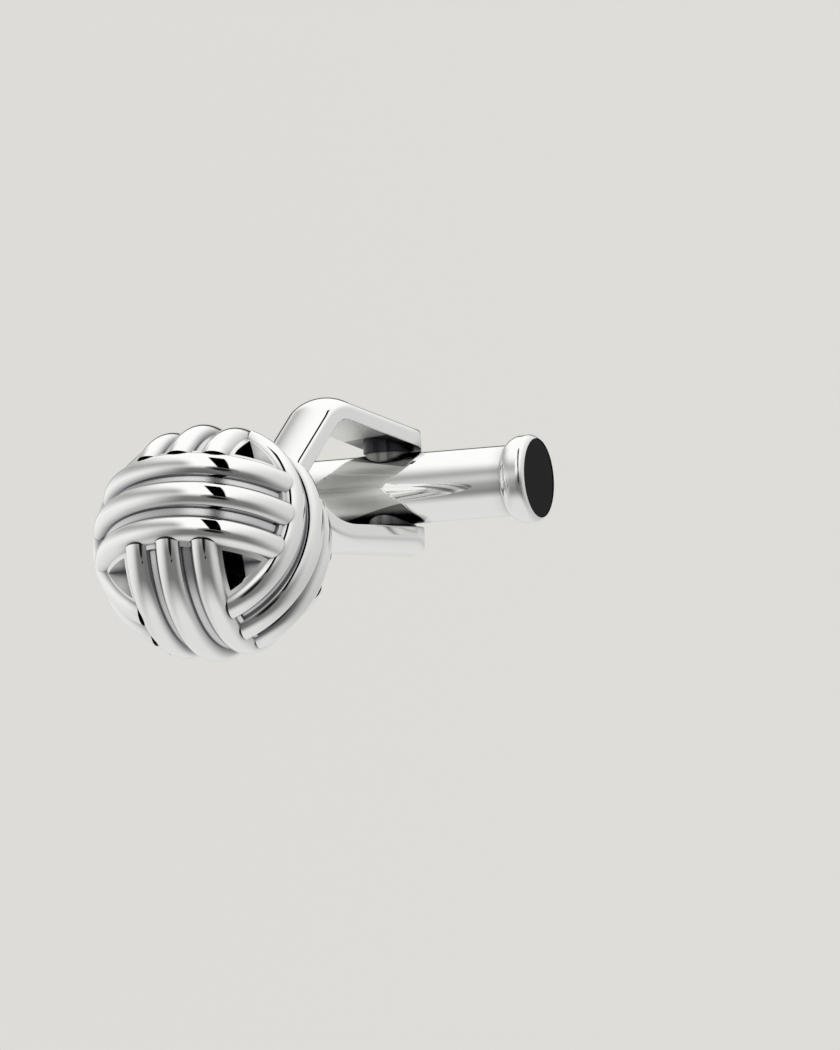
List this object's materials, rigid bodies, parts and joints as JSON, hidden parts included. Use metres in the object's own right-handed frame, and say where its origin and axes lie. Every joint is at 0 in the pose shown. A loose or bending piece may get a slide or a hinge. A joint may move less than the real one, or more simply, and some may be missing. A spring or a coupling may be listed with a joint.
{
  "type": "cufflink",
  "caption": "Cufflink with a ball-shaped woven knot head on a bent strap and a swivelling toggle bar with dark inlaid ends.",
  "frame": {"origin": "centre of the swivel pin, in the middle of the toggle bar", "axes": "+X from the knot head towards the bar, +Y along the swivel pin, +Z across the width of the strap"},
  "size_m": [0.028, 0.0161, 0.0188],
  "materials": {
    "polished_steel": "mirror polished",
    "pivot_steel": "turned",
    "black_inlay": "gloss"
  },
  "bodies": {
    "head": {"bracket": "polished_steel", "knot_core": "polished_steel", "lower_seat": "pivot_steel", "mounting_post": "polished_steel", "pivot_pin": "pivot_steel", "strand_back_1": "polished_steel", "strand_back_2": "polished_steel", "strand_back_3": "polished_steel", "strand_bottom_1": "polished_steel", "strand_bottom_2": "polished_steel", "strand_bottom_3": "polished_steel", "strand_front_1": "polished_steel", "strand_front_2": "polished_steel", "strand_front_3": "polished_steel", "strand_left_1": "polished_steel", "strand_left_2": "polished_steel", "strand_left_3": "polished_steel", "strand_right_1": "polished_steel", "strand_right_2": "polished_steel", "strand_right_3": "polished_steel", "strand_top_1": "polished_steel", "strand_top_2": "polished_steel", "strand_top_3": "polished_steel", "upper_seat": "pivot_steel"},
    "toggle": {"toggle_tube": "polished_steel", "pivot_bushing": "pivot_steel", "cap_outer": "polished_steel", "cap_inner": "polished_steel", "inlay_outer": "black_inlay", "inlay_inner": "black_inlay"}
  },
  "joints": [
    {"name": "toggle_swivel", "type": "hinge", "parent": "head", "child": "toggle", "pos_m": [0, 0, 0], "axis": [0, -1, 0], "range_deg": [-20, 70]}
  ]
}
